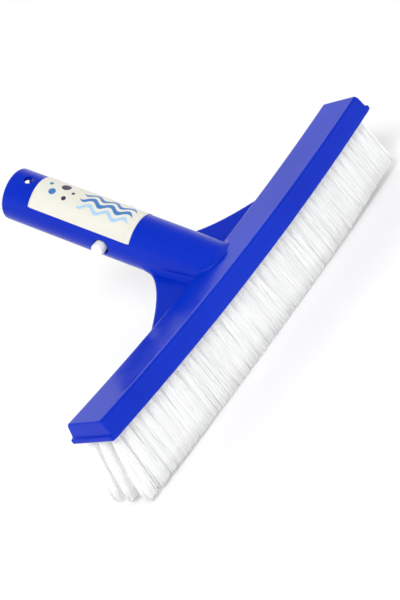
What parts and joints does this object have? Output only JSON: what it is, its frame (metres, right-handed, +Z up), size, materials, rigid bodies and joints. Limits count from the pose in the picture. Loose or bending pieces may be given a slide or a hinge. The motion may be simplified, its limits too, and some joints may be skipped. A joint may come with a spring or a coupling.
{
  "type": "pool wall brush",
  "caption": "Bowed pool wall brush with flared nylon bristles and a sloping handle tube whose sprung buttons lock it in a telescopic pole.",
  "frame": {"origin": "centre of the whole brush's footprint, at the height of the lowest bristle tips", "axes": "+X along the head, +Y from the handle towards the head's front, +Z up from the bristle tips to the head's back"},
  "size_m": [0.262, 0.1358, 0.1142],
  "materials": {
    "blue_plastic": "glossy injection-moulded polypropylene",
    "white_nylon": "satin white filament",
    "white_plastic": "satin moulded acetal",
    "label_film": "printed off-white vinyl film"
  },
  "bodies": {
    "brush": {"head_and_handle": "blue_plastic", "bristles_row1_part1": "white_nylon", "bristles_row1_part2": "white_nylon", "bristles_row1_part3": "white_nylon", "bristles_row1_part4": "white_nylon", "bristles_row1_part5": "white_nylon", "bristles_row1_part6": "white_nylon", "bristles_row1_part7": "white_nylon", "bristles_row2_part1": "white_nylon", "bristles_row2_part2": "white_nylon", "bristles_row2_part3": "white_nylon", "bristles_row2_part4": "white_nylon", "bristles_row2_part5": "white_nylon", "bristles_row2_part6": "white_nylon", "bristles_row2_part7": "white_nylon", "bristles_row3_part1": "white_nylon", "bristles_row3_part2": "white_nylon", "bristles_row3_part3": "white_nylon", "bristles_row3_part4": "white_nylon", "bristles_row3_part5": "white_nylon", "bristles_row3_part6": "white_nylon", "bristles_row3_part7": "white_nylon", "bristles_row4_part1": "white_nylon", "bristles_row4_part2": "white_nylon", "bristles_row4_part3": "white_nylon", "bristles_row4_part4": "white_nylon", "bristles_row4_part5": "white_nylon", "bristles_row4_part6": "white_nylon", "bristles_row4_part7": "white_nylon", "bristles_row5_part1": "white_nylon", "bristles_row5_part2": "white_nylon", "bristles_row5_part3": "white_nylon", "bristles_row5_part4": "white_nylon", "bristles_row5_part5": "white_nylon", "bristles_row5_part6": "white_nylon", "bristles_row5_part7": "white_nylon", "clip_bend": "white_plastic", "label": "label_film"},
    "right_lock": {"clip_arm_right": "white_plastic", "lock_button_right": "white_plastic"},
    "left_lock": {"clip_arm_left": "white_plastic", "lock_button_left": "white_plastic"}
  },
  "joints": [
    {"name": "right_button_press", "type": "hinge", "parent": "brush", "child": "right_lock", "pos_m": [0.0056, -0.03868, 0.08832], "axis": [0, 0.5592, 0.829], "range_deg": [0, 6.4], "stiffness_Nm_per_rad": 0.3},
    {"name": "left_button_press", "type": "hinge", "parent": "brush", "child": "left_lock", "pos_m": [-0.0056, -0.03868, 0.08832], "axis": [0, -0.5592, -0.829], "range_deg": [0, 6.4], "stiffness_Nm_per_rad": 0.3}
  ]
}
